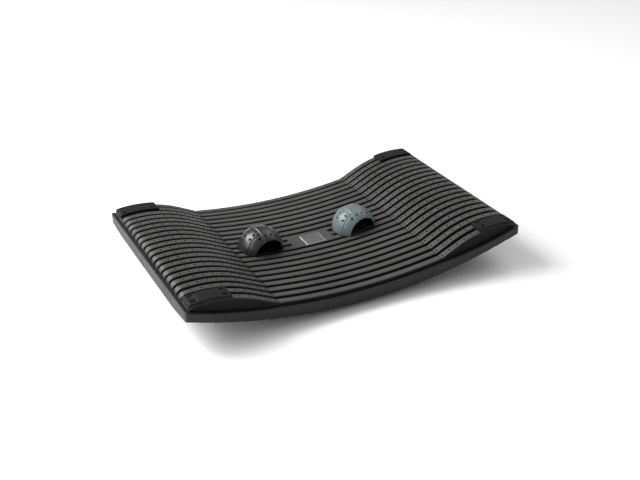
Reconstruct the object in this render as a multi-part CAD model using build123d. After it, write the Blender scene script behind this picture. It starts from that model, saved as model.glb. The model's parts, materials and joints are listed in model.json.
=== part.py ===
from build123d import *
from math import asin, cos, degrees, radians, sin, sqrt
import os

# Balance board: a rocker tray with a raised rim, a bent spring plate, a ribbed deck with a hump at
# each end, and two massage domes that turn in the deck and lift out of it.
# X runs along the board, Y from the front edge to the back edge, Z up. The origin is on the floor
# under the middle of the board. Every length is in millimetres.
#
# "Height" means height above the rim's top line. The deck is modelled at the board's middle, where
# that line is level, and then bent or turned about the bend axis, which lies high above the board.

# ---- Rocker tray -----------------------------------------------------------------------------
BOARD_LENGTH = 550.0
BOARD_WIDTH = 340.0
CORNER_RADIUS = 7.0
RIM_MIDDLE_Z = 25.0         # the rim's top edge above the floor, at the middle of the board
RIM_RISE = 41.4             # how much higher the rim's ends stand
RIM_FACE_MIDDLE = 19.0      # height of the rim's outer face at the middle and at the ends
RIM_FACE_END = 15.0
RIM_WIDTH = 5.5
RIM_LEAN = 2.5              # how far the outer face leans in at its foot
RIM_EDGE_RADIUS = 1.0
FOOT_EDGE_RADIUS = 2.5
BELLY_WIDTH = 236.0         # level middle of the underside, across the board
TRAY_WALL = 2.8
FIN_THICKNESS = 2.2
FIN_ROWS = 3                # long fins each side of the middle one
FIN_COLUMNS = 3             # cross fins each side of the middle one
FIN_ROW_PITCH = 46.0
FIN_COLUMN_PITCH = 72.0

# ---- Rubber runners under the tray --------------------------------------------------------------
RUNNER_LENGTH = 330.0
RUNNER_WIDTH = 26.0
RUNNER_OFFSET = 92.0        # middle of each runner from the middle of the board
RUNNER_PROUD = 2.0
RUNNER_INLAY = 1.2
RUNNER_FLAT_DEPTH = 0.5     # worn off the arc so that the board stands level
TREAD_PITCH = 15.0
TREAD_WIDTH = 2.0
TREAD_DEPTH = 1.0

# ---- Spring plate and deck ----------------------------------------------------------------------
DECK_GAP = 1.5              # between the deck's parts and the rim's inner face
PLATE_THICKNESS = 3.0
DECK_BASE = 2.6             # solid floor under the ribs
RIB_WIDTH = 9.6
GROOVE_WIDTH = 6.1
RIB_HEIGHT = 8.5            # at the middle rib
RIB_CROWN = 3.2             # how much lower the ribs run towards the long edges
RIB_TOP = 8.6               # height of the middle rib's top
RIB_EDGE_RADIUS = 0.9
JOINT_GAP = 0.4             # visible joint between the middle deck and each hump

# ---- Humps -----------------------------------------------------------------------------------
HUMP_START = 136.0          # distance from the middle of the board
HUMP_END = 268.5
HUMP_CENTRE = 241.0         # the crest
HUMP_RISE = 31.2            # how much higher the crest stands than the joint
HUMP_RAMP_ANGLE = 25.5      # the straight ramp that leads up from the joint
HUMP_WALL = 3.0
HUMP_CHAMBERS = 4

# ---- Corner pads -----------------------------------------------------------------------------
PAD_START = 205.0
PAD_RIBS = 2
PAD_PROUD = 3.8
PAD_SEAT = 1.2              # how deep the pad is let into the outermost rib
PAD_EDGE_RADIUS = 1.2
PAD_SLOT_LENGTH = 7.5
PAD_SLOT_WIDTH = 2.6
PAD_SLOT_DEPTH = 2.0
PAD_SLOT_INSET_X = 9.0
PAD_SLOT_INSET_Y = 5.2
PAD_PEG_RADIUS = 2.0
PAD_PEG_LENGTH = 3.0

# ---- Label plate and badge at the middle -----------------------------------------------------
LABEL_START = -43.5
LABEL_END = 33.0
BADGE_X = -2.0
BADGE_Y = -4.5
BADGE_LENGTH = 34.0
BADGE_WIDTH = 30.0
BADGE_FRAME = 2.0
BADGE_PROUD = 0.7
BADGE_SINK = 1.4
BADGE_FACE_DROP = 0.5       # the badge plate lies this much below its frame
BADGE_GAP = 0.1

# ---- Massage domes ---------------------------------------------------------------------------
LEFT_DOME_STATION = -91.5
RIGHT_DOME_STATION = 74.5
DOME_TURN = 9.0             # how far the domes are turned from facing the front edge
DOME_RADIUS = 35.0
DOME_WALL = 3.5
DOME_SEAT_SINK = 0.3        # shallow round seat in the rib tops
DOME_SEAT_GAP = 0.3
DOME_SEAT_CLEARANCE = 0.6
ARCH_RADIUS = 24.5
ARCH_HEIGHT = 23.0
RIDGE_OFFSET = 9.8
RIDGE_WIDTH = 1.4
RIDGE_HEIGHT = 0.8
SEAM_OFFSET = 13.0          # groove that parts the brim from the crown
SEAM_WIDTH = 1.2
SEAM_DEPTH = 0.8
VENT_LENGTH = 4.4
VENT_WIDTH = 3.0
BOSS_RADIUS = 3.4
BOSS_CIRCLE = 20.0
BOSS_ANGLES = (15.0, 90.0, 165.0)
FOOT_THICKNESS = 3.0
KEY_ACROSS_FLATS = 12.0
KEY_TIP_GAP = 0.5           # between the key's tip and the floor under the hub
KEY_GAP = 0.08

# ---- Turntables under the domes --------------------------------------------------------------
TURN_GAP = 0.06
HUB_RADIUS = 15.0
HUB_FLANGE_RADIUS = 17.5
HUB_FLANGE_THICKNESS = 3.6
SOCKET_WALL = 2.6
SOCKET_DROP = 0.6           # the socket's top lies below the dome's seat
FIT_GAP = 0.05

# ---- Screws ----------------------------------------------------------------------------------
SCREW_RADIUS = 2.0
SCREW_HEAD_RADIUS = 3.8
SCREW_HEAD_HEIGHT = 2.4
SCREW_HOLE_GAP = 0.3
SCREW_DRIVE_RADIUS = 1.3
SCREW_DRIVE_DEPTH = 1.2
SCREW_TIP_HEIGHT = 4.5      # height that the deck screws reach, inside a rib
SCREW_BOSS_RADIUS = 6.5
DECK_SCREW_STATION = 45.0
HUMP_SCREW_STATION = 210.0
SCREW_RIB = 7               # ribs out from the middle one
DOME_SCREW_RADIUS = 1.25
DOME_SCREW_HEAD_RADIUS = 2.5
DOME_SCREW_HEAD_HEIGHT = 1.5
DOME_SCREW_LENGTH = 8.0

# ---- Worked out from the sizes above -----------------------------------------------------------
HALF_LENGTH = BOARD_LENGTH / 2
HALF_WIDTH = BOARD_WIDTH / 2
FAR = 2 * BOARD_LENGTH      # longer than anything that is cut


def arc_radius(half_span, rise):
    return (half_span**2 + rise**2) / (2 * rise)


BEND_RADIUS = arc_radius(HALF_LENGTH, RIM_RISE)
BEND_Z = RIM_MIDDLE_Z + BEND_RADIUS
BEND_AXIS = Axis((0, 0, BEND_Z), (0, 1, 0))
RIM_FOOT_Z = RIM_MIDDLE_Z - RIM_FACE_MIDDLE
ROCKER_RISE = RIM_RISE + RIM_FACE_MIDDLE - RIM_FACE_END
ROCKER_RADIUS = arc_radius(HALF_LENGTH, ROCKER_RISE)
ROCKER_Z = RIM_FOOT_Z + ROCKER_RADIUS
ROCKER_AXIS = Axis((0, 0, ROCKER_Z), (0, 1, 0))
BELLY_Z = RUNNER_PROUD - RUNNER_FLAT_DEPTH

RIB_PITCH = RIB_WIDTH + GROOVE_WIDTH
DECK_HALF_WIDTH = HALF_WIDTH - RIM_WIDTH - DECK_GAP
RIB_ROWS = int((DECK_HALF_WIDTH - RIB_WIDTH / 2) / RIB_PITCH)   # each side of the middle rib
OUTER_RIB_Y = RIB_ROWS * RIB_PITCH
DECK_SIDE_Y = OUTER_RIB_Y + RIB_WIDTH / 2
GROOVE_FLOOR = RIB_TOP - RIB_HEIGHT
DECK_UNDERSIDE = GROOVE_FLOOR - DECK_BASE
PLATE_UNDERSIDE = DECK_UNDERSIDE - PLATE_THICKNESS
PLATE_HALF_LENGTH = HALF_LENGTH - RIM_WIDTH - 2 * DECK_GAP
SCREW_Y = SCREW_RIB * RIB_PITCH

# The ramp starts at the joint and runs into the arc over the crest without a break.
JOINT_Z = BEND_Z - sqrt((BEND_RADIUS - RIB_TOP)**2 - HUMP_START**2)
RAMP_SIN = sin(radians(HUMP_RAMP_ANGLE))
RAMP_COS = cos(radians(HUMP_RAMP_ANGLE))
HUMP_RADIUS = ((RAMP_SIN * (HUMP_CENTRE - HUMP_START) - RAMP_COS * HUMP_RISE)
               / (RAMP_SIN**2 - RAMP_COS + RAMP_COS**2))
HUMP_Z = JOINT_Z + HUMP_RISE - HUMP_RADIUS

SEAT_HEIGHT = RIB_TOP - DOME_SEAT_SINK
DOME_SEAT_RADIUS = DOME_RADIUS + RIDGE_HEIGHT + DOME_SEAT_CLEARANCE
DOME_BASE = SEAT_HEIGHT + DOME_SEAT_GAP
SOCKET_TOP = SEAT_HEIGHT - SOCKET_DROP
SOCKET_RADIUS = HUB_FLANGE_RADIUS + TURN_GAP + SOCKET_WALL
# The plate under the socket is bent, so it rises towards the edge of the socket's flat floor.
SOCKET_FLOOR = DECK_UNDERSIDE + SOCKET_RADIUS**2 / (2 * BEND_RADIUS) + FIT_GAP


# ---- Helpers -----------------------------------------------------------------------------------
def section(points):
    """A cross-section of the board, from (y, z) points at its middle."""
    return make_face(Polyline([(0, y, z) for y, z in points], close=True).edges())


def bent(profile, start, end, axis=BEND_AXIS, radius=BEND_RADIUS):
    """A cross-section swept along the bend from one station along the board to another."""
    first = degrees(asin(start / radius))
    last = degrees(asin(end / radius))
    return revolve(profile.rotate(axis, -last), axis, last - first)


def at_station(shape, station):
    """A shape modelled at the middle of the board, turned along the bend to its station."""
    return shape.rotate(BEND_AXIS, -degrees(asin(station / BEND_RADIUS)))


def cross_cylinder(radius, x, z):
    """A long cylinder across the board."""
    return Pos(x, 0, z) * Rot(90, 0, 0) * Cylinder(radius, FAR)


def dome_stations():
    """The name and the station of each dome."""
    return (("left", LEFT_DOME_STATION), ("right", RIGHT_DOME_STATION))


def above(height):
    """All that lies above a surface of this height over the rim's top line."""
    return cross_cylinder(BEND_RADIUS - height, 0, BEND_Z)


def block(x_range, y_range, z_range):
    """A box between the given limits."""
    size = [high - low for low, high in (x_range, y_range, z_range)]
    middle = [(high + low) / 2 for low, high in (x_range, y_range, z_range)]
    return Pos(*middle) * Box(*size)


def upright(radius, bottom, top, x=0.0, y=0.0):
    """An upright cylinder at the middle of the board, between two heights."""
    return Pos(x, y, RIM_MIDDLE_Z + (bottom + top) / 2) * Cylinder(radius, top - bottom)


def crown_drop(y):
    """How much lower than the middle rib the deck runs at this distance from it."""
    return RIB_CROWN * abs(y / DECK_SIDE_Y)**4


def rib_positions():
    return [row * RIB_PITCH for row in range(-RIB_ROWS, RIB_ROWS + 1)]


def corners():
    """The signs of X and Y at the board's four corners, with each corner's name."""
    return [(side, edge, f"{edge_name}_{side_name}")
            for side, side_name in ((-1, "left"), (1, "right"))
            for edge, edge_name in ((-1, "front"), (1, "back"))]


def screw(radius, head_radius, head_height, length, drive_radius, drive_depth):
    """A pan-head screw that points up, with the underside of its head at z = 0."""
    body = Cylinder(radius, length, align=(Align.CENTER, Align.CENTER, Align.MIN))
    head = Pos(0, 0, -head_height) * Cylinder(
        head_radius, head_height, align=(Align.CENTER, Align.CENTER, Align.MIN))
    head = chamfer(head.edges().sort_by(Axis.Z)[0], head_height / 3)
    drive = extrude(Pos(0, 0, -head_height) * RegularPolygon(drive_radius, 6), drive_depth)
    return body + head - drive


# ---- Rocker tray -----------------------------------------------------------------------------
def underside_points(offset):
    """The tray's underside from its left edge to its right edge, raised by an offset."""
    belly = BELLY_WIDTH / 2
    foot = HALF_WIDTH - RIM_LEAN
    return [(-foot, RIM_FOOT_Z + offset), (-belly, BELLY_Z + offset),
            (belly, BELLY_Z + offset), (foot, RIM_FOOT_Z + offset)]


def plan_block(inset):
    """An upright block with the board's outline, inset all round."""
    outline = RectangleRounded(BOARD_LENGTH - 2 * inset, BOARD_WIDTH - 2 * inset,
                               CORNER_RADIUS - inset)
    return extrude(outline, FAR)


def rocker(profile):
    return bent(profile, -HALF_LENGTH - RIM_FACE_MIDDLE, HALF_LENGTH + RIM_FACE_MIDDLE,
                ROCKER_AXIS, ROCKER_RADIUS)


def screw_places():
    """Station and Y of each deck screw."""
    return [(station * side, SCREW_Y * edge)
            for station in (DECK_SCREW_STATION, HUMP_SCREW_STATION)
            for side in (-1, 1) for edge in (-1, 1)]


def runner_section(bottom, top, gap=0.0):
    """A runner's cross-section, between two heights above the belly."""
    half = RUNNER_WIDTH / 2 + gap
    return section([(RUNNER_OFFSET - half, BELLY_Z + bottom), (RUNNER_OFFSET + half, BELLY_Z + bottom),
                    (RUNNER_OFFSET + half, BELLY_Z + top), (RUNNER_OFFSET - half, BELLY_Z + top)])


def rocker_tray():
    top_z = RIM_MIDDLE_Z
    outer = section(underside_points(0) + [(HALF_WIDTH, top_z), (-HALF_WIDTH, top_z)])
    feet = [vertex for vertex in outer.vertices() if RIM_FOOT_Z - 0.1 < vertex.Z < RIM_FOOT_Z + 0.1]
    shell = rocker(fillet(feet, FOOT_EDGE_RADIUS)) & plan_block(0)
    shell = shell - above(0)
    shell = fillet([edge for edge in shell.edges() if is_on_rim(edge @ 0.5)], RIM_EDGE_RADIUS)
    pocket = section(underside_points(TRAY_WALL) + [(HALF_WIDTH, 2 * top_z), (-HALF_WIDTH, 2 * top_z)])
    pocket = rocker(pocket) & plan_block(RIM_WIDTH)
    fins = tray_fins() & pocket
    shell = shell - pocket + (fins - above(PLATE_UNDERSIDE))
    for station, y in screw_places():
        hole = upright(SCREW_RADIUS + SCREW_HOLE_GAP, -FAR, FAR, y=y)
        well = upright(SCREW_HEAD_RADIUS + SCREW_HOLE_GAP, -FAR, screw_head_seat(), y=y)
        shell = shell - at_station(hole + well, station)
    for edge in (-1, 1):
        inlay = bent(runner_section(-RUNNER_PROUD, RUNNER_INLAY, FIT_GAP),
                     -RUNNER_LENGTH / 2 - FIT_GAP, RUNNER_LENGTH / 2 + FIT_GAP,
                     ROCKER_AXIS, ROCKER_RADIUS)
        shell = shell - (inlay if edge > 0 else mirror(inlay, Plane.XZ))
    return shell


def is_on_rim(point):
    """Whether a point lies on the surface that trims the rim's top."""
    return abs(sqrt(point.X**2 + (point.Z - BEND_Z)**2) - BEND_RADIUS) < 0.01


def screw_head_seat():
    """Height of the face that the deck screws' heads pull against, inside the tray's bosses."""
    return PLATE_UNDERSIDE - TRAY_WALL


def tray_fins():
    """Long and cross fins that carry the spring plate, with a boss round each deck screw."""
    fins = []
    for row in range(-FIN_ROWS, FIN_ROWS + 1):
        y = row * FIN_ROW_PITCH
        fins.append(block((-FAR, FAR), (y - FIN_THICKNESS / 2, y + FIN_THICKNESS / 2), (0, FAR)))
    for column in range(-FIN_COLUMNS, FIN_COLUMNS + 1):
        x = column * FIN_COLUMN_PITCH
        fins.append(block((x - FIN_THICKNESS / 2, x + FIN_THICKNESS / 2), (-FAR, FAR), (0, FAR)))
    for station, y in screw_places():
        fins.append(at_station(upright(SCREW_BOSS_RADIUS, -BOARD_WIDTH, BOARD_WIDTH, y=y), station))
    return fins[0].fuse(*fins[1:])


def runner(edge):
    """A rubber runner, inlaid in the belly, with cross treads and a level middle."""
    strip = bent(runner_section(-RUNNER_PROUD, RUNNER_INLAY),
                 -RUNNER_LENGTH / 2, RUNNER_LENGTH / 2, ROCKER_AXIS, ROCKER_RADIUS)
    strip = strip - block((-FAR, FAR), (-FAR, FAR), (-FAR, 0))
    tread_depth_z = BELLY_Z - RUNNER_PROUD
    count = int(RUNNER_LENGTH / 2 / TREAD_PITCH)
    for index in range(-count, count):
        tread = Pos(0, RUNNER_OFFSET, tread_depth_z) * Box(TREAD_WIDTH, 2 * RUNNER_WIDTH, 2 * TREAD_DEPTH)
        station = (index + 0.5) * TREAD_PITCH
        strip = strip - tread.rotate(ROCKER_AXIS, -degrees(asin(station / ROCKER_RADIUS)))
    return strip if edge > 0 else mirror(strip, Plane.XZ)


# ---- Spring plate ----------------------------------------------------------------------------
def spring_plate():
    half = DECK_HALF_WIDTH
    low = RIM_MIDDLE_Z + PLATE_UNDERSIDE
    high = RIM_MIDDLE_Z + DECK_UNDERSIDE
    plate = bent(section([(-half, low), (half, low), (half, high), (-half, high)]),
                 -PLATE_HALF_LENGTH, PLATE_HALF_LENGTH)
    upright_edges = [edge for edge in plate.edges()
                     if abs(edge.length - PLATE_THICKNESS) < 0.01]
    plate = fillet(upright_edges, CORNER_RADIUS)
    for station, y in screw_places():
        plate = plate - at_station(upright(SCREW_RADIUS + SCREW_HOLE_GAP, -FAR, FAR, y=y), station)
    return plate


# ---- Deck between the humps --------------------------------------------------------------------
def deck_section():
    """The ribbed cross-section, with rounded rib edges."""
    floor = RIM_MIDDLE_Z + GROOVE_FLOOR
    points = [(-DECK_HALF_WIDTH, RIM_MIDDLE_Z + DECK_UNDERSIDE), (-DECK_HALF_WIDTH, floor)]
    for y in rib_positions():
        top = RIM_MIDDLE_Z + RIB_TOP - crown_drop(y)
        points += [(y - RIB_WIDTH / 2, floor), (y - RIB_WIDTH / 2, top),
                   (y + RIB_WIDTH / 2, top), (y + RIB_WIDTH / 2, floor)]
    points += [(DECK_HALF_WIDTH, floor), (DECK_HALF_WIDTH, RIM_MIDDLE_Z + DECK_UNDERSIDE)]
    ribbed = section(points)
    tops = [vertex for vertex in ribbed.vertices() if vertex.Z > floor + RIB_EDGE_RADIUS]
    return fillet(tops, RIB_EDGE_RADIUS)


def groove_filler(y):
    """Fills a groove beside the label plate; its ends are hollow, so that the groove ends round."""
    floor = RIM_MIDDLE_Z + GROOVE_FLOOR
    top = RIM_MIDDLE_Z + RIB_TOP
    half = GROOVE_WIDTH / 2
    overlap = half + RIB_EDGE_RADIUS
    filler = bent(section([(y - overlap, floor), (y + overlap, floor),
                           (y + overlap, top), (y - overlap, top)]), LABEL_START, LABEL_END)
    ends = [at_station(upright(half, GROOVE_FLOOR, 2 * RIB_TOP, y=y), station)
            for station in (LABEL_START, LABEL_END)]
    return filler - ends[0] - ends[1]


def middle_deck():
    reach = HUMP_START - JOINT_GAP / 2
    deck = bent(deck_section(), -reach, reach)
    for y in (-RIB_PITCH / 2, RIB_PITCH / 2):
        deck = deck + groove_filler(y)
    deck = deck - badge_block(BADGE_LENGTH + 2 * BADGE_GAP, BADGE_WIDTH + 2 * BADGE_GAP)
    for _, station in dome_stations():
        seat = upright(DOME_SEAT_RADIUS, SEAT_HEIGHT, 2 * RIB_TOP)
        hole = upright(SOCKET_RADIUS + FIT_GAP, -FAR, FAR)
        deck = deck - at_station(seat + hole, station)
    for station, y in screw_places():
        if abs(station) < HUMP_START:
            deck = deck - at_station(screw_pilot(y), station)
    return deck


def screw_pilot(y):
    return upright(SCREW_RADIUS, -FAR, SCREW_TIP_HEIGHT + SCREW_HOLE_GAP, y=y)


# ---- Badge -----------------------------------------------------------------------------------
def badge_block(length, width, bottom=RIB_TOP - BADGE_SINK, top=RIB_TOP + BADGE_PROUD):
    low = RIM_MIDDLE_Z + bottom
    high = RIM_MIDDLE_Z + top
    return Pos(BADGE_X, BADGE_Y, 0) * block((-length / 2, length / 2), (-width / 2, width / 2),
                                            (low, high))


def badge_frame():
    frame = badge_block(BADGE_LENGTH, BADGE_WIDTH)
    frame = chamfer(frame.faces().sort_by(Axis.Z)[-1].edges(), BADGE_PROUD / 2)
    return frame - badge_block(BADGE_LENGTH - 2 * BADGE_FRAME, BADGE_WIDTH - 2 * BADGE_FRAME)


def badge_plate():
    inset = 2 * (BADGE_FRAME + BADGE_GAP)
    return badge_block(BADGE_LENGTH - inset, BADGE_WIDTH - inset,
                       top=RIB_TOP + BADGE_PROUD - BADGE_FACE_DROP)


# ---- Humps -----------------------------------------------------------------------------------
def hump_arc(drop, side):
    """All that lies under the hump's ramp and arc, lowered by a drop measured square to them."""
    radius = HUMP_RADIUS - drop
    ramp_x = HUMP_CENTRE - radius * RAMP_SIN
    ramp_z = HUMP_Z + radius * RAMP_COS
    start_x = HUMP_START / 2
    start_z = ramp_z - (ramp_x - start_x) * RAMP_SIN / RAMP_COS
    end_x = HUMP_CENTRE + radius * RAMP_SIN
    ramp = Line((side * start_x, 0, start_z), (side * ramp_x, 0, ramp_z))
    arc = ThreePointArc((side * ramp_x, 0, ramp_z), (side * HUMP_CENTRE, 0, HUMP_Z + radius),
                        (side * end_x, 0, ramp_z))
    rest = Polyline((side * end_x, 0, ramp_z), (side * end_x, 0, -FAR), (side * start_x, 0, -FAR),
                    (side * start_x, 0, start_z))
    return extrude(make_face(ramp.edges() + arc.edges() + rest.edges()), FAR, both=True)


def is_hump_top(edge, side):
    """Whether an edge runs along the top of a rib, up the ramp or over the crest."""
    middle = edge @ 0.5
    x = side * middle.X
    ramp_x = HUMP_CENTRE - HUMP_RADIUS * RAMP_SIN
    if x < ramp_x:
        top = JOINT_Z + (x - HUMP_START) * RAMP_SIN / RAMP_COS
    else:
        top = HUMP_Z + sqrt(HUMP_RADIUS**2 - (x - HUMP_CENTRE)**2)
    return abs((edge @ 0).Y - (edge @ 1).Y) < 0.01 and abs(middle.Z - top) < 0.01


def hump_span(side, y_range, inset=0.0):
    start = HUMP_START + JOINT_GAP / 2 + inset
    end = HUMP_END - inset
    x_range = (start, end) if side > 0 else (-end, -start)
    return block(x_range, y_range, (0, RIM_MIDDLE_Z + RIM_RISE + HUMP_RADIUS))


def hump_rib(side):
    """One rib at the middle of the board, rounded along its top."""
    rib = hump_span(side, (-RIB_WIDTH / 2, RIB_WIDTH / 2)) & hump_arc(0, side)
    rounded = [edge for edge in rib.edges() if is_hump_top(edge, side)]
    return fillet(rounded, RIB_EDGE_RADIUS)


def hump_chambers(side):
    """The hollows under the hump, with a fin between each two."""
    inner = DECK_SIDE_Y - HUMP_WALL
    pitch = (2 * inner + HUMP_WALL) / HUMP_CHAMBERS
    chambers = []
    for index in range(HUMP_CHAMBERS):
        low = -inner + index * pitch
        chamber = hump_span(side, (low, low + pitch - HUMP_WALL), HUMP_WALL)
        chambers.append(chamber & hump_arc(RIB_HEIGHT + HUMP_WALL, side))
    return chambers


def hump(side):
    body = hump_span(side, (-DECK_SIDE_Y, DECK_SIDE_Y)) & hump_arc(RIB_HEIGHT, side)
    rib = hump_rib(side)
    ribs = [Pos(0, y, -crown_drop(y)) * rib for y in rib_positions()]
    body = body.fuse(*ribs)
    for chamber in hump_chambers(side):
        body = body - chamber
    for station, y in screw_places():
        if station * side > HUMP_START:
            boss = at_station(upright(SCREW_BOSS_RADIUS, DECK_UNDERSIDE, FAR, y=y), station)
            body = body + (boss & hump_arc(RIB_HEIGHT, side)) - at_station(screw_pilot(y), station)
    body = body & above(DECK_UNDERSIDE)
    for edge in (-1, 1):
        body = body - pad_volume(side, edge, -PAD_SEAT, HUMP_RADIUS)
        for peg in pad_pegs(side, edge, PAD_PEG_RADIUS + FIT_GAP, PAD_PEG_LENGTH + FIT_GAP):
            body = body - peg
    return body


# ---- Corner pads -----------------------------------------------------------------------------
PAD_WIDTH = PAD_RIBS * RIB_WIDTH + (PAD_RIBS - 1) * GROOVE_WIDTH
PAD_DROP = crown_drop(OUTER_RIB_Y)


def pad_arc(height, side):
    """All that lies under the pad's arc, which is level with the outermost rib at height 0."""
    return cross_cylinder(HUMP_RADIUS + height, side * HUMP_CENTRE, HUMP_Z - PAD_DROP)


def pad_volume(side, edge, bottom, top):
    x_range = sorted((side * PAD_START, side * HUMP_END))
    y_range = sorted((edge * (DECK_SIDE_Y - PAD_WIDTH), edge * DECK_SIDE_Y))
    column = block(x_range, y_range, (0, FAR))
    return (column & pad_arc(top, side)) - pad_arc(bottom, side)


def pad_points(side, edge, inset_x, inset_y):
    """Points near a pad's four corners."""
    return [(side * x, edge * y)
            for x in (PAD_START + inset_x, HUMP_END - inset_x)
            for y in (DECK_SIDE_Y - PAD_WIDTH + inset_y, DECK_SIDE_Y - inset_y)]


def pad_pegs(side, edge, radius, length):
    """Two pegs that hold the pad on the outermost rib."""
    pegs = []
    for x, y in pad_points(side, edge, 2 * PAD_SLOT_INSET_X, RIB_WIDTH / 2):
        if abs(y) > DECK_SIDE_Y - RIB_WIDTH:
            height = HUMP_RADIUS - PAD_SEAT
            top = HUMP_Z - PAD_DROP + sqrt(height**2 - (abs(x) - HUMP_CENTRE)**2)
            pegs.append(Pos(x, y, top - length / 2 + 0.25) * Cylinder(radius, length + 0.5))
    return pegs


def corner_pad(side, edge):
    pad = pad_volume(side, edge, -PAD_SEAT, PAD_PROUD)
    top_edges = [line for line in pad.edges() if is_pad_top(line, side)]
    pad = fillet(top_edges, PAD_EDGE_RADIUS)
    for x, y in pad_points(side, edge, PAD_SLOT_INSET_X, PAD_SLOT_INSET_Y):
        slot = Pos(x, y, 0) * SlotOverall(PAD_SLOT_LENGTH, PAD_SLOT_WIDTH)
        pad = pad - (extrude(slot, FAR) - pad_arc(PAD_PROUD - PAD_SLOT_DEPTH, side))
    for peg in pad_pegs(side, edge, PAD_PEG_RADIUS, PAD_PEG_LENGTH):
        pad = pad + peg
    return pad


def is_pad_top(line, side):
    middle = line.center()
    reach = sqrt((middle.X - side * HUMP_CENTRE)**2 + (middle.Z - HUMP_Z + PAD_DROP)**2)
    return reach > HUMP_RADIUS + PAD_PROUD - 0.6


# ---- Turntables --------------------------------------------------------------------------------
def key_bar(across, bottom, top):
    """A six-sided bar at the middle of the board, between two heights."""
    hexagon = RegularPolygon(across / sqrt(3), 6)
    return extrude(Pos(0, 0, RIM_MIDDLE_Z + bottom) * hexagon, top - bottom)


def dome_socket():
    """A fixed ring in the deck, with a lip that holds the hub down."""
    lip_floor = SOCKET_FLOOR + HUB_FLANGE_THICKNESS + TURN_GAP
    ring = upright(SOCKET_RADIUS, SOCKET_FLOOR, SOCKET_TOP)
    ring = ring - upright(HUB_FLANGE_RADIUS + TURN_GAP, SOCKET_FLOOR - 1, lip_floor)
    return ring - upright(HUB_RADIUS + TURN_GAP, SOCKET_FLOOR, SOCKET_TOP + 1)


def dome_hub():
    """The disc that turns in the socket and takes the dome's key."""
    hub = upright(HUB_RADIUS, SOCKET_FLOOR, SOCKET_TOP)
    hub = hub + upright(HUB_FLANGE_RADIUS, SOCKET_FLOOR, SOCKET_FLOOR + HUB_FLANGE_THICKNESS)
    return hub - key_bar(KEY_ACROSS_FLATS + 2 * KEY_GAP, SOCKET_FLOOR - 1, SOCKET_TOP + 1)


# ---- Domes -----------------------------------------------------------------------------------
def dome_ball(radius):
    ball = Pos(0, 0, RIM_MIDDLE_Z + DOME_BASE) * Sphere(radius)
    return ball & block((-FAR, FAR), (-FAR, FAR), (RIM_MIDDLE_Z + DOME_BASE, FAR))


def arch_block():
    """The way in at the dome's front, round at its top."""
    depth = DOME_RADIUS + 5
    z = RIM_MIDDLE_Z + DOME_BASE + ARCH_HEIGHT - ARCH_RADIUS
    return Pos(0, -depth / 2, z) * Rot(90, 0, 0) * Cylinder(ARCH_RADIUS, depth)


def vent_places():
    """X and Y of the holes through a dome, seen from above its own middle."""
    sides = [(side * x, y) for side in (-1, 1) for x in (19.0, 26.0) for y in (-7.5, 7.5)]
    brow = [(side * x, -18.5) for side in (-1, 1) for x in (5.0, 15.0)]
    return sides + brow


def vent(x, y):
    """A slotted hole square to the dome's surface, long from front to back."""
    z = sqrt(DOME_RADIUS**2 - x**2 - y**2)
    outward = Vector(x, y, z).normalized()
    along = Vector(0, 1, 0) - outward * outward.Y
    base = Vector(0, 0, RIM_MIDDLE_Z + DOME_BASE)
    place = Plane(base + outward * (DOME_RADIUS - 2 * DOME_WALL), x_dir=along, z_dir=outward)
    return extrude(place * SlotOverall(VENT_LENGTH, VENT_WIDTH), 3 * DOME_WALL)


def boss_places():
    return [(BOSS_CIRCLE * cos(radians(angle)), BOSS_CIRCLE * sin(radians(angle)))
            for angle in BOSS_ANGLES]


def dome_shell():
    ball = dome_ball(DOME_RADIUS)
    reach = (RIM_MIDDLE_Z, FAR)
    for side in (-1, 1):
        x = side * RIDGE_OFFSET
        slab = block((x - RIDGE_WIDTH / 2, x + RIDGE_WIDTH / 2), (-DOME_RADIUS, DOME_RADIUS), reach)
        ball = ball + (dome_ball(DOME_RADIUS + RIDGE_HEIGHT) & slab)
    for side in (-1, 1):
        x_range = sorted((side * (RIDGE_OFFSET + RIDGE_WIDTH / 2), side * 2 * DOME_RADIUS))
        slab = block(x_range, (-SEAM_OFFSET - SEAM_WIDTH / 2, -SEAM_OFFSET + SEAM_WIDTH / 2), reach)
        ball = ball - (slab - dome_ball(DOME_RADIUS - SEAM_DEPTH))
    hollow = dome_ball(DOME_RADIUS - DOME_WALL)
    shell = ball - hollow - arch_block()
    floor = DOME_BASE + FOOT_THICKNESS
    for x, y in boss_places():
        boss = upright(BOSS_RADIUS, floor, DOME_BASE + DOME_RADIUS, x, y)
        shell = shell + (boss & dome_ball(DOME_RADIUS - DOME_WALL / 2))
        shell = shell - upright(DOME_SCREW_RADIUS, floor - 1, floor + DOME_SCREW_LENGTH, x, y)
    for x, y in vent_places():
        shell = shell - vent(x, y)
    return shell


def dome_foot():
    """The disc that closes the dome's base, with the key that plugs into the hub."""
    radius = DOME_RADIUS - DOME_WALL
    slope = sqrt(radius**2 - FOOT_THICKNESS**2) - FIT_GAP
    disc = upright(slope, DOME_BASE, DOME_BASE + FOOT_THICKNESS)
    front = -sqrt(DOME_RADIUS**2 - ARCH_RADIUS**2)
    disc = disc - block((-FAR, FAR), (-FAR, front), (0, FAR))
    foot = disc + key_bar(KEY_ACROSS_FLATS, SOCKET_FLOOR + KEY_TIP_GAP, DOME_BASE)
    for x, y in boss_places():
        foot = foot - upright(DOME_SCREW_RADIUS + FIT_GAP, DOME_BASE - 1, 2 * DOME_RADIUS, x, y)
        well = DOME_BASE + DOME_SCREW_HEAD_HEIGHT + FIT_GAP
        foot = foot - upright(DOME_SCREW_HEAD_RADIUS + FIT_GAP, DOME_BASE - 1, well, x, y)
    return foot


def turned(shape):
    """A part of a dome, turned about the dome's own axis."""
    return shape.rotate(Axis.Z, DOME_TURN)


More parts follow.
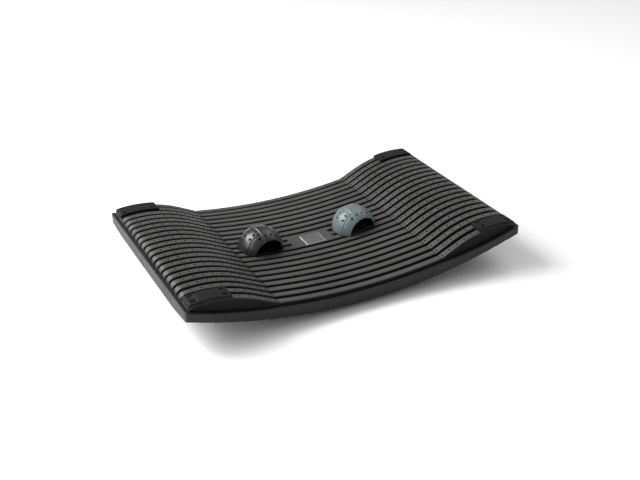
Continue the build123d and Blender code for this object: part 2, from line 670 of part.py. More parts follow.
def dome_screws():
    pattern = screw(DOME_SCREW_RADIUS, DOME_SCREW_HEAD_RADIUS, DOME_SCREW_HEAD_HEIGHT,
                    DOME_SCREW_LENGTH, DOME_SCREW_RADIUS * 0.7, DOME_SCREW_HEAD_HEIGHT / 2)
    z = RIM_MIDDLE_Z + DOME_BASE + DOME_SCREW_HEAD_HEIGHT + FIT_GAP
    return [Pos(x, y, z) * pattern for x, y in boss_places()]


# ---- Deck screws -----------------------------------------------------------------------------
def deck_screws(stations):
    seat = screw_head_seat()
    pattern = screw(SCREW_RADIUS, SCREW_HEAD_RADIUS, SCREW_HEAD_HEIGHT, SCREW_TIP_HEIGHT - seat,
                    SCREW_DRIVE_RADIUS, SCREW_DRIVE_DEPTH)
    return [at_station(Pos(0, y, RIM_MIDDLE_Z + seat) * pattern, station)
            for station, y in screw_places() if abs(station) in stations]


# ---- Files -----------------------------------------------------------------------------------
def save(name, *shapes):
    """Write one node, as one solid or as a group of separate solids."""
    solids = [solid for shape in shapes for solid in shape.solids()]
    export_step(solids[0] if len(solids) == 1 else Compound(children=solids), f"parts/{name}.step")


os.makedirs("parts", exist_ok=True)
save("rocker_tray", rocker_tray())
save("front_runner", runner(-1))
save("back_runner", runner(1))
save("spring_plate", spring_plate())
save("middle_deck", middle_deck())
save("badge_frame", badge_frame())
save("badge_plate", badge_plate())
save("left_hump", hump(-1))
save("right_hump", hump(1))
for side, edge, name in corners():
    save(f"{name}_pad", corner_pad(side, edge))
save("deck_screws", *deck_screws([DECK_SCREW_STATION]))
save("hump_screws", *deck_screws([HUMP_SCREW_STATION]))
for name, station in dome_stations():
    save(f"{name}_dome_socket", at_station(dome_socket(), station))
    save(f"{name}_dome_hub", at_station(turned(dome_hub()), station))
    save(f"{name}_dome_shell", at_station(turned(dome_shell()), station))
    save(f"{name}_dome_foot", at_station(turned(dome_foot()), station))
    save(f"{name}_dome_screws", *[at_station(turned(each), station) for each in dome_screws()])
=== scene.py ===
import json
from math import cos, radians, sin, sqrt, tan

import bpy
from mathutils import Matrix, Vector


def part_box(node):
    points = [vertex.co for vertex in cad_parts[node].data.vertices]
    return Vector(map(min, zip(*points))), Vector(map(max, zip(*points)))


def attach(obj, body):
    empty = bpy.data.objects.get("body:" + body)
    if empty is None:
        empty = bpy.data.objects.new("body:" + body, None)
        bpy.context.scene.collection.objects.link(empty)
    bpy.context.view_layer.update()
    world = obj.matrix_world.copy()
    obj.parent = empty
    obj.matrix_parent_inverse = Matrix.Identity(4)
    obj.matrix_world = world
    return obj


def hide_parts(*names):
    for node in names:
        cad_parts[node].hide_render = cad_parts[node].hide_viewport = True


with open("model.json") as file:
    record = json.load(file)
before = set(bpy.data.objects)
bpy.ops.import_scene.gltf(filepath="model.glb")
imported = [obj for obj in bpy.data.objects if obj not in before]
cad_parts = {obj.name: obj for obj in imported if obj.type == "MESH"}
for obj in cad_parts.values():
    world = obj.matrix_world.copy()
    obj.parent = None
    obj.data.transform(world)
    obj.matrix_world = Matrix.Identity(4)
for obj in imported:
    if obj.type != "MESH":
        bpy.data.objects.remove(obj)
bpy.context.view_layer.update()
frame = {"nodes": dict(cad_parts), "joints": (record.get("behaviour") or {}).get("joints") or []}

# Sizes in millimetres. They repeat the board's own sizes, which the frame holds only as finished
# shapes. New pieces are modelled in millimetres and brought to metres when they are placed.
MM = 0.001
HALF_LENGTH = 275
RIM_MIDDLE_Z = 25          # the rim's top at the middle of the board
RIM_RISE = 41.4            # how much higher the rim's ends stand
RIB_TOP = 8.6              # the middle rib over the rim's top
RIB_PITCH = 15.7
RIB_WIDTH = 9.6
RIB_ROWS = 10              # each side of the middle rib
RIB_CROWN = 3.2            # how much lower the ribs lie at the deck's sides
DECK_SIDE_Y = 161.8

HUMP_START = 136           # the foot of the ramp, from the middle of the board
HUMP_CENTRE = 241          # the crest
HUMP_END = 268.5
HUMP_RISE = 31.2
HUMP_RAMP_ANGLE = 25.5
RIB_NOSE = (14, 8)         # length and drop of the ribs' rounded ends
PAD_START = 203
PAD_RIBS = 2               # ribs that a corner pad covers
PAD_TOP = 3.8              # height of the pads over the outermost rib
PAD_NOSE = (6, 5)
NOSE_SIDE = 0.6            # half a nose's tool, in rib widths, to clear a rib's sides
CLEAR_END = 1              # how far the noses' tools pass the humps' ends
CLEAR_TOP = 4              # and the tops of the ribs
BAR_SIDES = 96             # sides of the bar that rounds an end

DIMPLE_START = 4.2         # along the ribs' tops, from the foot of the ramp
DIMPLE_PITCH = 7.2
DIMPLE_END = 121
DIMPLES = ((1.8, 2.6), (1.3, 0.9))   # radius and depth, in turn along a rib

DOME_RADIUS = 35
DOME_WALL = 3.5
DOME_LIFT = 0.3            # the dome's base above the turning joint's point
DOME_TURN = 9              # degrees that the arch turns from the board's front
ARCH_RADIUS = 24.5
ARCH_HEIGHT = 23
ARCH_DEPTH = 40            # from the dome's middle to past its front
RIDGE_OFFSET = 9.8         # two raised ridges, each side of the dome's middle
RIDGE_BEAD = 0.9
SEAM_OFFSET = 13           # a sunk seam behind the dome's middle
SEAM_BEAD = 0.9
VENT_RADIUS = 1.5
VENT_STRETCH = 1.45
SIDE_VENTS = ((19, 26), (-7.5, 7.5))   # X and Y of the vents outside each ridge
FRONT_VENTS = ((5, 15), (-18.5,))      # and of those over the arch
FOOT_THICKNESS = 3
BOSS_RADIUS = 3.4
BOSS_CIRCLE = 20
BOSS_ANGLES = (15, 90, 165)
INSIDE_SHADE_REACH = 0.4         # how far the painted shade inside the dome comes into its wall
INSIDE_SHADE_FADE = 0.6          # and over what depth it fades
SKIN_VOXEL = 0.55
FAR = 100                  # past any edge of a dome

# Depths of the surfaces' grain, in metres as the shader wants them.
COARSE_GRAIN = 0.06 * MM
FINE_GRAIN = 0.03 * MM
BRUSHING_DEPTH = 0.02 * MM
PEBBLE_DEPTH = 0.12 * MM

# The black painted inside the domes: the shade in their hollow, partly their dark inner body.
INSIDE_SHADE_BLACK = (0.008, 0.008, 0.008)
# The black painted into the grooves and under the ribs' tops as their shade.
PAINTED_GROOVE_SHADE = (0.003, 0.003, 0.003)
GROOVE_SHADE = (0.4, 2)    # depth under the ribs' tops where the grooves' painted shade starts and is full


# ---- Shader nodes ------------------------------------------------------------------------------
# The Mix node's sockets for colours, counted among those for numbers, vectors and turns.
COLOUR_A = 6
COLOUR_B = 7
COLOUR_RESULT = 2
DISTANCE_RESULT = 1        # Vector Math gives a length at its second output


class Flow:
    """The output of a shader node. Arithmetic on it adds Math nodes to its material."""

    def __init__(self, finish, socket):
        self.finish = finish
        self.socket = socket

    def math(self, operation, *values):
        return self.finish.math_on(operation, *values)

    def __add__(self, other):
        return self.math("ADD", self, other)

    def __radd__(self, other):
        return self.math("ADD", other, self)

    def __sub__(self, other):
        return self.math("SUBTRACT", self, other)

    def __rsub__(self, other):
        return self.math("SUBTRACT", other, self)

    def __mul__(self, other):
        return self.math("MULTIPLY", self, other)

    def root(self):
        return self.math("SQRT", self)

    def size(self):
        return self.math("ABSOLUTE", self)

    def clamp(self, low, high):
        return self.math("MINIMUM", self.math("MAXIMUM", self, low), high)

    def step(self, low, high):
        """0 below low, 1 above high, and smooth between them."""
        settings = {"interpolation_type": "SMOOTHSTEP"}
        inputs = {"Value": self, "From Min": low, "From Max": high}
        return self.finish.node("ShaderNodeMapRange", settings, inputs)


class Finish:
    """A procedural material and the shorthand that builds it."""

    def __init__(self, name):
        self.material = bpy.data.materials.new(name)
        self.material.use_nodes = True
        self.tree = self.material.node_tree
        self.shader = self.tree.nodes["Principled BSDF"]
        self.place = self.node("ShaderNodeTexCoord", output="Object")

    def node(self, kind, settings=None, inputs=None, output=0):
        made = self.tree.nodes.new(kind)
        for key, value in (settings or {}).items():
            setattr(made, key, value)
        for key, value in (inputs or {}).items():
            self.feed(made.inputs[key], value)
        return Flow(self, made.outputs[output])

    def feed(self, socket, value):
        if isinstance(value, Flow):
            self.tree.links.new(value.socket, socket)
        else:
            socket.default_value = value

    def set(self, **values):
        """Sets or links the shader's sockets; an underscore stands for a space."""
        for key, value in values.items():
            self.feed(self.shader.inputs[key.replace("_", " ")], value)

    def math_on(self, operation, *values):
        return self.node("ShaderNodeMath", {"operation": operation}, dict(enumerate(values)))

    def axes(self):
        """The object's X, Y and Z, in metres."""
        first = self.node("ShaderNodeSeparateXYZ", {}, {0: self.place})
        return [Flow(self, socket) for socket in first.socket.node.outputs]

    def noise(self, scale, detail=2.0, roughness=0.5, stretch=(1, 1, 1)):
        """Noise from 0 to 1, with this many waves to the metre along each axis."""
        place = self.node("ShaderNodeMapping", {}, {"Vector": self.place, "Scale": stretch})
        inputs = {"Vector": place, "Scale": scale, "Detail": detail, "Roughness": roughness}
        return self.node("ShaderNodeTexNoise", {}, inputs)

    def blend(self, factor, first, second):
        """A colour between two, by a factor from 0 to 1."""
        inputs = {"Factor": factor}
        for socket, colour in ((COLOUR_A, first), (COLOUR_B, second)):
            inputs[socket] = (*colour, 1) if isinstance(colour, tuple) else colour
        return self.node("ShaderNodeMix", {"data_type": "RGBA"}, inputs, output=COLOUR_RESULT)

    def bump(self, height, distance):
        return self.node("ShaderNodeBump", {}, {"Height": height, "Distance": distance})


def moulded_plastic(name, dark, light, roughness, grain_scale=900, grain_depth=COARSE_GRAIN,
                    shine=0.5, inside_shade_ball=None, rib_tops=None):
    """Injection-moulded plastic: spark-eroded grain, slow colour drift and faint scuffs.

    inside_shade_ball is the middle and radius of a ball inside which the plastic is painted black:
    the shade in a dome's hollow, partly its dark inner body. rib_tops gives the height of the ribs
    over a place, and what lies deeper than their tops is painted black as the shade in the grooves.
    """
    finish = Finish(name)
    drift = finish.noise(14, detail=3).step(0.3, 0.7)
    grain = finish.noise(grain_scale, detail=3, roughness=0.6)
    scuff = finish.noise(60, detail=4, roughness=0.65, stretch=(0.15, 1, 1)).step(0.62, 0.75)
    speck = grain.step(0.35, 0.7)
    colour = finish.blend(drift * 0.6 + speck * 0.4, dark, light)
    colour = finish.blend(scuff * 0.12, colour, tuple(min(1, 2 * part) for part in light))
    if inside_shade_ball:
        # Painted shade: inside this ball the plastic goes black, for the shade in a dome's hollow,
        # partly its dark inner body.
        centre, inside_shade_radius = inside_shade_ball
        reach = finish.node("ShaderNodeVectorMath", {"operation": "DISTANCE"},
                            {0: finish.place, 1: centre}, output=DISTANCE_RESULT)
        colour = finish.blend(reach.step(inside_shade_radius, inside_shade_radius + INSIDE_SHADE_FADE * MM), INSIDE_SHADE_BLACK, colour)
    roughness = roughness + (drift - 0.5) * 0.08 + scuff * 0.06 - (speck - 0.5) * 0.05
    if rib_tops:
        # Painted shade: what lies deeper than the ribs' tops goes black, for the shade in the
        # grooves.
        depth = rib_tops(finish) - finish.axes()[2]
        hollow = depth.step(*(part * MM for part in GROOVE_SHADE))
        colour = finish.blend(hollow, colour, PAINTED_GROOVE_SHADE)
        roughness = roughness + hollow * 0.45
    finish.set(Base_Color=colour, Roughness=roughness.clamp(0.05, 1.0),
               Normal=finish.bump(grain, grain_depth), Specular_IOR_Level=shine)
    return finish.material


def crown(y):
    """How much lower the ribs lie at a Y in metres, as the shader sees it."""
    part = y * (1 / (DECK_SIDE_Y * MM))
    return part * part * part * part * (RIB_CROWN * MM)


def deck_rib_tops(finish):
    """The height of the middle deck's ribs over each place."""
    x, y, _ = finish.axes()
    bend = (HALF_LENGTH**2 + RIM_RISE**2) / (2 * RIM_RISE)
    radius = (bend - RIB_TOP) * MM
    return (RIM_MIDDLE_Z + bend) * MM - (radius**2 - x * x).root() - crown(y)


def hump_rib_tops(finish):
    """The height of the humps' ribs over each place."""
    x, y, _ = finish.axes()
    angle, radius, ramp = hump_sizes()
    crest = hump_crest() * MM
    run = x.size() - HUMP_CENTRE * MM
    over = (crest - radius * MM) + ((radius * MM)**2 - run * run).clamp(0, 1).root()
    up = (x.size() - HUMP_START * MM) * tan(angle) + (crest - HUMP_RISE * MM)
    ramp_end = (HUMP_START + ramp * cos(angle)) * MM
    on_ramp = finish.math_on("LESS_THAN", x.size(), ramp_end)
    length, drop = RIB_NOSE
    part = ((x.size() - (HUMP_END - length) * MM) * (1 / (length * MM))).clamp(0, 1)
    nose = (1 - (1 - part * part).root()) * (drop * MM)
    return over + (up - over) * on_ramp - crown(y) - nose


def brushed_metal(name, colour, roughness):
    """Metal with fine straight brushing along X."""
    finish = Finish(name)
    lines = finish.noise(2600, detail=2, stretch=(0.03, 1, 1))
    drift = finish.noise(90, detail=2).step(0.3, 0.7)
    light = tuple(min(1.0, 1.35 * part) for part in colour)
    finish.set(Base_Color=finish.blend(lines * 0.7 + drift * 0.3, colour, light),
               Metallic=1.0, Roughness=(roughness + (lines - 0.5) * 0.2).clamp(0.05, 1.0),
               Normal=finish.bump(lines, BRUSHING_DEPTH))
    return finish.material


def rubber(name, dark, light):
    """Matt rubber with a pebbled skin and a little dust."""
    finish = Finish(name)
    pebble = finish.node("ShaderNodeTexVoronoi", {"feature": "SMOOTH_F1"},
                         {"Vector": finish.place, "Scale": 700.0, "Smoothness": 0.6})
    dust = finish.noise(45, detail=4, roughness=0.6).step(0.5, 0.75)
    finish.set(Base_Color=finish.blend(dust * 0.6, dark, light),
               Roughness=(0.78 + dust * 0.12).clamp(0, 1),
               Normal=finish.bump(pebble, PEBBLE_DEPTH))
    return finish.material


# The dark and the light shade that each plastic and the rubber drift between.
TRAY_BLACK = ((0.011, 0.011, 0.011), (0.018, 0.018, 0.018))
DECK_BLACK = ((0.034, 0.033, 0.032), (0.058, 0.056, 0.055))
PAD_BLACK = ((0.008, 0.008, 0.008), (0.013, 0.013, 0.013))
PLATE_BLACK = ((0.012, 0.012, 0.012), (0.02, 0.02, 0.02))
SOCKET_BLACK = ((0.012, 0.012, 0.013), (0.02, 0.02, 0.021))
DOME_BLACK = ((0.008, 0.008, 0.009), (0.02, 0.02, 0.021))
DOME_BLUE_GREY = ((0.075, 0.1, 0.106), (0.13, 0.165, 0.174))
RUBBER_BLACK = ((0.012, 0.012, 0.012), (0.03, 0.029, 0.028))
# The metals' darkest shades.
FRAME_GREY = (0.42, 0.42, 0.42)
BADGE_GREY = (0.2, 0.195, 0.195)
STEEL_GREY = (0.42, 0.42, 0.43)
DOME_GRAIN_SCALE = 700


def make_materials():
    """Every material of the board, by a short name."""
    # A dome is painted black inside this radius, for the shade in its hollow.
    inside_shade_radius = (DOME_RADIUS - DOME_WALL + INSIDE_SHADE_REACH) * MM
    return {
        "tray": moulded_plastic("tray_plastic", *TRAY_BLACK, 0.42, grain_scale=1100,
                                grain_depth=FINE_GRAIN, shine=0.26),
        "deck": moulded_plastic("deck_plastic", *DECK_BLACK, 0.5, rib_tops=deck_rib_tops),
        "hump": moulded_plastic("hump_plastic", *DECK_BLACK, 0.5, rib_tops=hump_rib_tops),
        "pad": moulded_plastic("pad_plastic", *PAD_BLACK, 0.55, shine=0.12),
        "plate": moulded_plastic("plate_composite", *PLATE_BLACK, 0.6),
        "socket": moulded_plastic("socket_plastic", *SOCKET_BLACK, 0.34, grain_depth=FINE_GRAIN),
        "black_dome": moulded_plastic("black_dome_plastic", *DOME_BLACK, 0.3,
                                      grain_scale=DOME_GRAIN_SCALE,
                                      inside_shade_ball=(dome_centre("left"), inside_shade_radius)),
        "grey_dome": moulded_plastic("blue_grey_dome_plastic", *DOME_BLUE_GREY, 0.36,
                                     grain_scale=DOME_GRAIN_SCALE,
                                     inside_shade_ball=(dome_centre("right"), inside_shade_radius)),
        "badge_frame": brushed_metal("badge_frame_metal", FRAME_GREY, 0.34),
        "badge": brushed_metal("badge_metal", BADGE_GREY, 0.45),
        "steel": brushed_metal("screw_steel", STEEL_GREY, 0.34),
        "runner": rubber("runner_rubber", *RUBBER_BLACK),
    }


# ---- Mesh tools --------------------------------------------------------------------------------
def pick(*pieces):
    """Selects only these pieces; the first is the active one."""
    bpy.ops.object.select_all(action="DESELECT")
    for piece in pieces:
        piece.select_set(True)
    bpy.context.view_layer.objects.active = pieces[0]


def added():
    """The primitive that was just added, alone in the selection."""
    piece = bpy.context.active_object
    pick(piece)
    return piece


def apply_place(piece):
    """Puts a piece's place, turn and scale into its mesh."""
    pick(piece)
    bpy.ops.object.transform_apply(location=True, rotation=True, scale=True)


def apply_modifier(piece, kind, **settings):
    modifier = piece.modifiers.new(kind.lower(), kind)
    for key, value in settings.items():
        setattr(modifier, key, value)
    pick(piece)
    bpy.ops.object.modifier_apply(modifier=modifier.name)


def combine(piece, tool, operation="DIFFERENCE"):
    """Cuts a tool out of a piece, or joins it on, and throws the tool away."""
    apply_modifier(piece, "BOOLEAN", object=tool, operation=operation, solver="EXACT")
    bpy.data.objects.remove(tool)


def join(pieces):
    pick(*pieces)
    bpy.ops.object.join()
    return bpy.context.active_object


def block(low, high):
    """A box between two corners."""
    middle = [(a + b) / 2 for a, b in zip(low, high)]
    bpy.ops.mesh.primitive_cube_add(size=1, location=middle)
    box = added()
    box.scale = [b - a for a, b in zip(low, high)]
    apply_place(box)
    return box


def merge(piece):
    """Joins points that lie in one place."""
    pick(piece)
    bpy.ops.object.mode_set(mode="EDIT")
    bpy.ops.mesh.select_all(action="SELECT")
    bpy.ops.mesh.remove_doubles(threshold=0.0005)
    bpy.ops.object.mode_set(mode="OBJECT")


def smooth(piece):
    """Rounds the shading, except over edges sharper than 30 degrees."""
    pick(piece)
    bpy.ops.object.shade_smooth_by_angle(angle=radians(30))


def dress(piece, material):
    piece.data.materials.clear()
    piece.data.materials.append(material)


def copy_of(piece, name):
    """A copy with its own mesh, no parent and none of the first one's custom properties."""
    twin = piece.copy()
    twin.data = piece.data.copy()
    twin.name = name
    twin.parent = None
    for key in list(twin.keys()):
        del twin[key]
    bpy.context.scene.collection.objects.link(twin)
    return twin


# ---- Humps -------------------------------------------------------------------------------------
def crown_drop(y):
    """How much lower the ribs lie at a Y in millimetres."""
    return RIB_CROWN * abs(y / DECK_SIDE_Y)**4


def rib_positions():
    return [row * RIB_PITCH for row in range(-RIB_ROWS, RIB_ROWS + 1)]


def hump_sizes():
    """The ramp's angle, the radius of the arc that runs on from it, and the ramp's length."""
    angle = radians(HUMP_RAMP_ANGLE)
    run = HUMP_CENTRE - HUMP_START
    radius = (sin(angle) * run - cos(angle) * HUMP_RISE) / (1 - cos(angle))
    return angle, radius, (run - radius * sin(angle)) / cos(angle)


def hump_crest():
    """The top of the humps' middle rib."""
    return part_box("left_hump")[1].z / MM


def hump_place(distance, depth, crest_z):
    """X and Z at this distance up the ramp and over the arc, and this deep under the ribs' tops."""
    angle, radius, ramp = hump_sizes()
    if distance < ramp:
        return (HUMP_START + distance * cos(angle) + depth * sin(angle),
                crest_z - HUMP_RISE + distance * sin(angle) - depth * cos(angle))
    lean = (distance - ramp) / radius - angle
    return (HUMP_CENTRE + (radius - depth) * sin(lean),
            crest_z - radius + (radius - depth) * cos(lean))


def dimple_row(side, y, crest_z, under_pad):
    """The balls that press one rib's dimples, small and large in turn."""
    balls = []
    count = int((DIMPLE_END - DIMPLE_START) / DIMPLE_PITCH) + 1
    for index in range(count):
        radius, depth = DIMPLES[index % 2]
        x, z = hump_place(DIMPLE_START + index * DIMPLE_PITCH, depth - radius, crest_z)
        if under_pad and x > PAD_START:
            continue
        bpy.ops.mesh.primitive_uv_sphere_add(segments=20, ring_count=12, radius=radius,
                                             location=(side * x, y, z - crown_drop(y)))
        balls.append(added())
    return balls


def nose_tool(side, y_range, nose, crest_z):
    """What a rounded end leaves off: a block less an elliptic bar across the board."""
    length, drop = nose
    inner = HUMP_END - length
    _, radius, _ = hump_sizes()
    top = crest_z - radius + sqrt(radius**2 - (inner - HUMP_CENTRE)**2)
    x_low, x_high = sorted((side * inner, side * (HUMP_END + CLEAR_END)))
    y_low, y_high = y_range
    tool = block((x_low, y_low, top - drop), (x_high, y_high, top + CLEAR_TOP))
    bpy.ops.mesh.primitive_cylinder_add(vertices=BAR_SIDES, radius=1, depth=3 * (y_high - y_low),
                                        location=(side * inner, (y_low + y_high) / 2, top - drop),
                                        rotation=(radians(90), 0, 0))
    bar = added()
    bar.scale = (length, drop, 1)
    apply_place(bar)
    combine(tool, bar)
    return tool


def is_under_pad(y):
    """Whether a corner pad covers the outer end of the rib at this Y."""
    return abs(y) > (RIB_ROWS - PAD_RIBS + 0.5) * RIB_PITCH


def in_millimetres(node, name):
    """A copy of a node's mesh, ready to be cut."""
    piece = copy_of(frame["nodes"][node], name)
    piece.data.transform(Matrix.Scale(1 / MM, 4))
    merge(piece)
    return piece


def put_back(piece, node, material):
    """Brings a cut copy back to metres and has it stand in for its node."""
    piece.data.transform(Matrix.Scale(MM, 4))
    smooth(piece)
    dress(piece, material)
    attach(piece, "board")
    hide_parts(node)


def rounded_pad(node, side, edge, material):
    """A corner pad with its outer end rounded."""
    pad = in_millimetres(node, f"{node}_skin")
    outer_y = RIB_ROWS * RIB_PITCH
    y_range = sorted((edge * (outer_y + RIB_WIDTH), edge * (outer_y - PAD_RIBS * RIB_PITCH)))
    crest_z = hump_crest() - crown_drop(outer_y) + PAD_TOP
    combine(pad, nose_tool(side, y_range, PAD_NOSE, crest_z))
    put_back(pad, node, material)


def dimpled_hump(node, side, material):
    """A hump with rounded rib ends and small dimples pressed into the tops of its ribs."""
    crest_z = hump_crest()
    body = in_millimetres(node, f"{node}_skin")
    tools = []
    for y in rib_positions():
        tools += dimple_row(side, y, crest_z, is_under_pad(y))
        if not is_under_pad(y):
            y_range = (y - NOSE_SIDE * RIB_WIDTH, y + NOSE_SIDE * RIB_WIDTH)
            tools.append(nose_tool(side, y_range, RIB_NOSE, crest_z - crown_drop(y)))
    tools = join(tools)
    apply_place(tools)
    combine(body, tools)
    put_back(body, node, material)


# ---- Massage domes -----------------------------------------------------------------------------
def vent_places():
    """X and Y of every small hole through a dome."""
    return [(side * x, y) for across, along in (SIDE_VENTS, FRONT_VENTS)
            for side in (-1, 1) for x in across for y in along]


def vent_tool(x, y):
    """A long hole square to the dome, stretched from front to back."""
    z = sqrt(DOME_RADIUS**2 - x**2 - y**2)
    outward = Vector((x, y, z)).normalized()
    along = (Vector((0, 1, 0)) - outward * outward.y).normalized()
    across = along.cross(outward)
    bpy.ops.mesh.primitive_cylinder_add(vertices=28, radius=VENT_RADIUS, depth=4 * DOME_WALL)
    tool = added()
    turn = Matrix((across, along * VENT_STRETCH, outward)).transposed().to_4x4()
    tool.data.transform(Matrix.Translation(outward * DOME_RADIUS) @ turn)
    return tool


def bead_ring(offset, axis, bead):
    """A ring of round section that lies on the dome's surface, in a plane square to an axis."""
    ring_radius = sqrt(DOME_RADIUS**2 - offset**2)
    turn = (0, radians(90), 0) if axis == "X" else (radians(90), 0, 0)
    place = (offset, 0, 0) if axis == "X" else (0, offset, 0)
    bpy.ops.mesh.primitive_torus_add(major_radius=ring_radius, minor_radius=bead,
                                     major_segments=160, minor_segments=12,
                                     location=place, rotation=turn)
    ring = added()
    apply_place(ring)
    return ring


def arch_tool():
    """The way in under the dome's front, round at its top."""
    bpy.ops.mesh.primitive_cylinder_add(vertices=128, radius=ARCH_RADIUS, depth=ARCH_DEPTH,
                                        location=(0, -ARCH_DEPTH / 2, ARCH_HEIGHT - ARCH_RADIUS),
                                        rotation=(radians(90), 0, 0))
    barrel = added()
    apply_place(barrel)
    return barrel


def screw_boss(angle):
    """A round post from the foot's top into the dome's wall."""
    x = BOSS_CIRCLE * cos(angle)
    y = BOSS_CIRCLE * sin(angle)
    top = sqrt((DOME_RADIUS - DOME_WALL / 2)**2 - BOSS_CIRCLE**2)
    bpy.ops.mesh.primitive_cylinder_add(vertices=32, radius=BOSS_RADIUS,
                                        depth=top - FOOT_THICKNESS,
                                        location=(x, y, (top + FOOT_THICKNESS) / 2))
    boss = added()
    apply_place(boss)
    return boss


def dome_skin(name):
    """A hollow dome in its own frame: base at z = 0, arch towards -Y."""
    bpy.ops.mesh.primitive_uv_sphere_add(segments=160, ring_count=80, radius=DOME_RADIUS)
    skin = added()
    skin.name = name
    seam = bead_ring(-SEAM_OFFSET, "Y", SEAM_BEAD)
    band = RIDGE_OFFSET + RIDGE_BEAD
    combine(seam, block((-band, -FAR, -FAR), (band, FAR, FAR)))
    combine(skin, seam)
    for side in (-1, 1):
        combine(skin, bead_ring(side * RIDGE_OFFSET, "X", RIDGE_BEAD), "UNION")
    combine(skin, block((-FAR, -FAR, -FAR), (FAR, FAR, 0)))
    bpy.ops.mesh.primitive_uv_sphere_add(segments=128, ring_count=64,
                                         radius=DOME_RADIUS - DOME_WALL)
    combine(skin, added())
    combine(skin, arch_tool())
    for x, y in vent_places():
        combine(skin, vent_tool(x, y))
    for angle in BOSS_ANGLES:
        combine(skin, screw_boss(radians(angle)), "UNION")
    apply_modifier(skin, "REMESH", mode="VOXEL", voxel_size=SKIN_VOXEL, use_smooth_shade=True)
    apply_modifier(skin, "SMOOTH", factor=0.5, iterations=3)
    return skin


def joint_named(name):
    return next(joint for joint in frame["joints"] if joint["name"] == name)


def dome_centre(side_name):
    """The middle of a dome's base, on its turning axis."""
    joint = joint_named(f"{side_name}_dome_turn")
    return Vector(joint["pos_m"]) + Vector(joint["axis"]).normalized() * DOME_LIFT * MM


def dome_matrix(side_name):
    """From a dome's own frame to its place on the board."""
    up = Vector(joint_named(f"{side_name}_dome_turn")["axis"]).normalized()
    forward = Vector((0, 1, 0))
    across = forward.cross(up)
    turn = Matrix((across, forward, up)).transposed().to_4x4()
    turn = turn @ Matrix.Rotation(radians(DOME_TURN), 4, "Z")
    return Matrix.Translation(dome_centre(side_name)) @ turn @ Matrix.Scale(MM, 4)


def place_domes(materials):
    """Models one dome and puts a copy on each side of the board."""
    pattern = dome_skin("dome_pattern")
    for side_name, material, slot in (("left", "black_dome", "black_dome_plastic"),
                                      ("right", "grey_dome", "blue_grey_dome_plastic")):
        skin = copy_of(pattern, f"{side_name}_dome_skin")
        skin.data.transform(dome_matrix(side_name))
        dress(skin, materials[material])
        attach(skin, f"{side_name}_dome")
        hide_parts(f"{side_name}_dome_shell")
    bpy.data.objects.remove(pattern)


# ---- Finish of the pieces that keep their shape ------------------------------------------------
NODE_MATERIALS = {
    "rocker_tray": "tray", "front_runner": "runner", "back_runner": "runner",
    "spring_plate": "plate", "middle_deck": "deck", "badge_frame": "badge_frame",
    "badge_plate": "badge", "front_left_pad": "pad", "back_left_pad": "pad",
    "front_right_pad": "pad", "back_right_pad": "pad", "deck_screws": "steel",
    "hump_screws": "steel", "left_dome_socket": "socket", "right_dome_socket": "socket",
    "left_dome_hub": "socket", "right_dome_hub": "socket", "left_dome_foot": "black_dome",
    "right_dome_foot": "socket", "left_dome_screws": "steel", "right_dome_screws": "steel",
    "left_hump": "hump", "right_hump": "hump", "left_dome_shell": "black_dome",
    "right_dome_shell": "grey_dome",
}


# ---- Camera, floor and light -------------------------------------------------------------------
CAMERA_AZIMUTH = -27.503        # degrees; 0 looks along +Y
CAMERA_ELEVATION = 28.308
CAMERA_DISTANCE = 1.54737       # metres, from the rim's top at the middle of the board
CAMERA_SHIFT_RIGHT = 0.01153
CAMERA_SHIFT_UP = 0.00312
CAMERA_LENS = 54.645
SENSOR_WIDTH = 36.0
FLOOR_SIZE = 8
FLOOR_SHADE = (0.92, 0.92, 0.92, 1)
SKY_STRENGTH = 0.42
LIGHT_AIM = (0, 0, 0.03)
# Each softbox's place and size in metres, and its watts.
SOFTBOXES = {
    "key_softbox": ((-1.25, 0.95, 1.45), 1.2, 62),
    "left_softbox": ((-1.7, 0.1, 0.7), 0.9, 11),
    "right_fill": ((1.6, 0.5, 1.9), 1.8, 16),
}


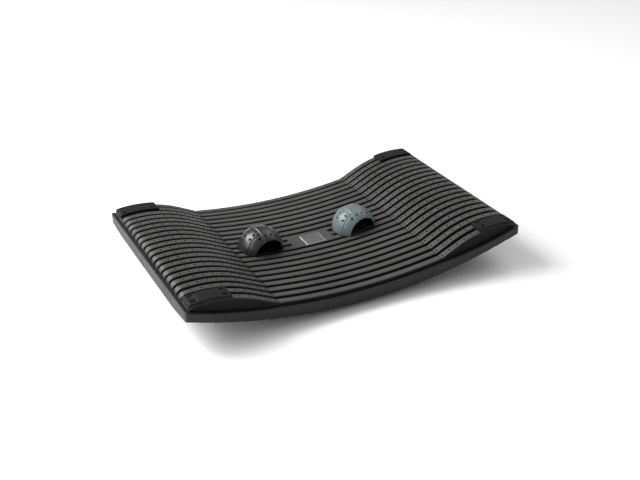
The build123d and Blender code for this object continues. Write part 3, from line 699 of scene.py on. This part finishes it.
def add_camera():
    azimuth = radians(CAMERA_AZIMUTH)
    elevation = radians(CAMERA_ELEVATION)
    back = Vector((sin(azimuth) * cos(elevation), -cos(azimuth) * cos(elevation), sin(elevation)))
    right = Vector((cos(azimuth), sin(azimuth), 0))
    up = back.cross(right)
    place = (Vector((0, 0, RIM_MIDDLE_Z * MM)) + back * CAMERA_DISTANCE
             + right * CAMERA_SHIFT_RIGHT + up * CAMERA_SHIFT_UP)
    data = bpy.data.cameras.new("camera")
    data.lens = CAMERA_LENS
    data.sensor_width = SENSOR_WIDTH
    camera = bpy.data.objects.new("camera", data)
    turn = Matrix((right, up, back)).transposed().to_4x4()
    camera.matrix_world = Matrix.Translation(place) @ turn
    bpy.context.scene.collection.objects.link(camera)
    bpy.context.scene.camera = camera


def add_softbox(name, place, size, watts):
    data = bpy.data.lights.new(name, "AREA")
    data.shape = "SQUARE"
    data.size = size
    data.energy = watts
    light = bpy.data.objects.new(name, data)
    light.location = place
    reach = Vector(LIGHT_AIM) - Vector(place)
    light.rotation_euler = reach.to_track_quat("-Z", "Y").to_euler()
    bpy.context.scene.collection.objects.link(light)


def add_studio():
    bpy.ops.mesh.primitive_plane_add(size=FLOOR_SIZE)
    floor = added()
    floor.name = "floor"
    finish = Finish("pale_floor")
    finish.set(Base_Color=FLOOR_SHADE, Roughness=0.7)
    dress(floor, finish.material)
    world = bpy.data.worlds.new("studio")
    world.use_nodes = True
    background = world.node_tree.nodes["Background"]
    background.inputs["Color"].default_value = (1, 1, 1, 1)
    background.inputs["Strength"].default_value = SKY_STRENGTH
    bpy.context.scene.world = world
    bpy.context.scene.view_settings.view_transform = "Standard"
    for name, settings in SOFTBOXES.items():
        add_softbox(name, *settings)


materials = make_materials()
for node, key in NODE_MATERIALS.items():
    dress(frame["nodes"][node], materials[key])
for node, side in (("left_hump", -1), ("right_hump", 1)):
    dimpled_hump(node, side, materials["hump"])
for side, side_name in ((-1, "left"), (1, "right")):
    for edge, edge_name in ((-1, "front"), (1, "back")):
        rounded_pad(f"{edge_name}_{side_name}_pad", side, edge, materials["pad"])
place_domes(materials)
add_camera()
add_studio()
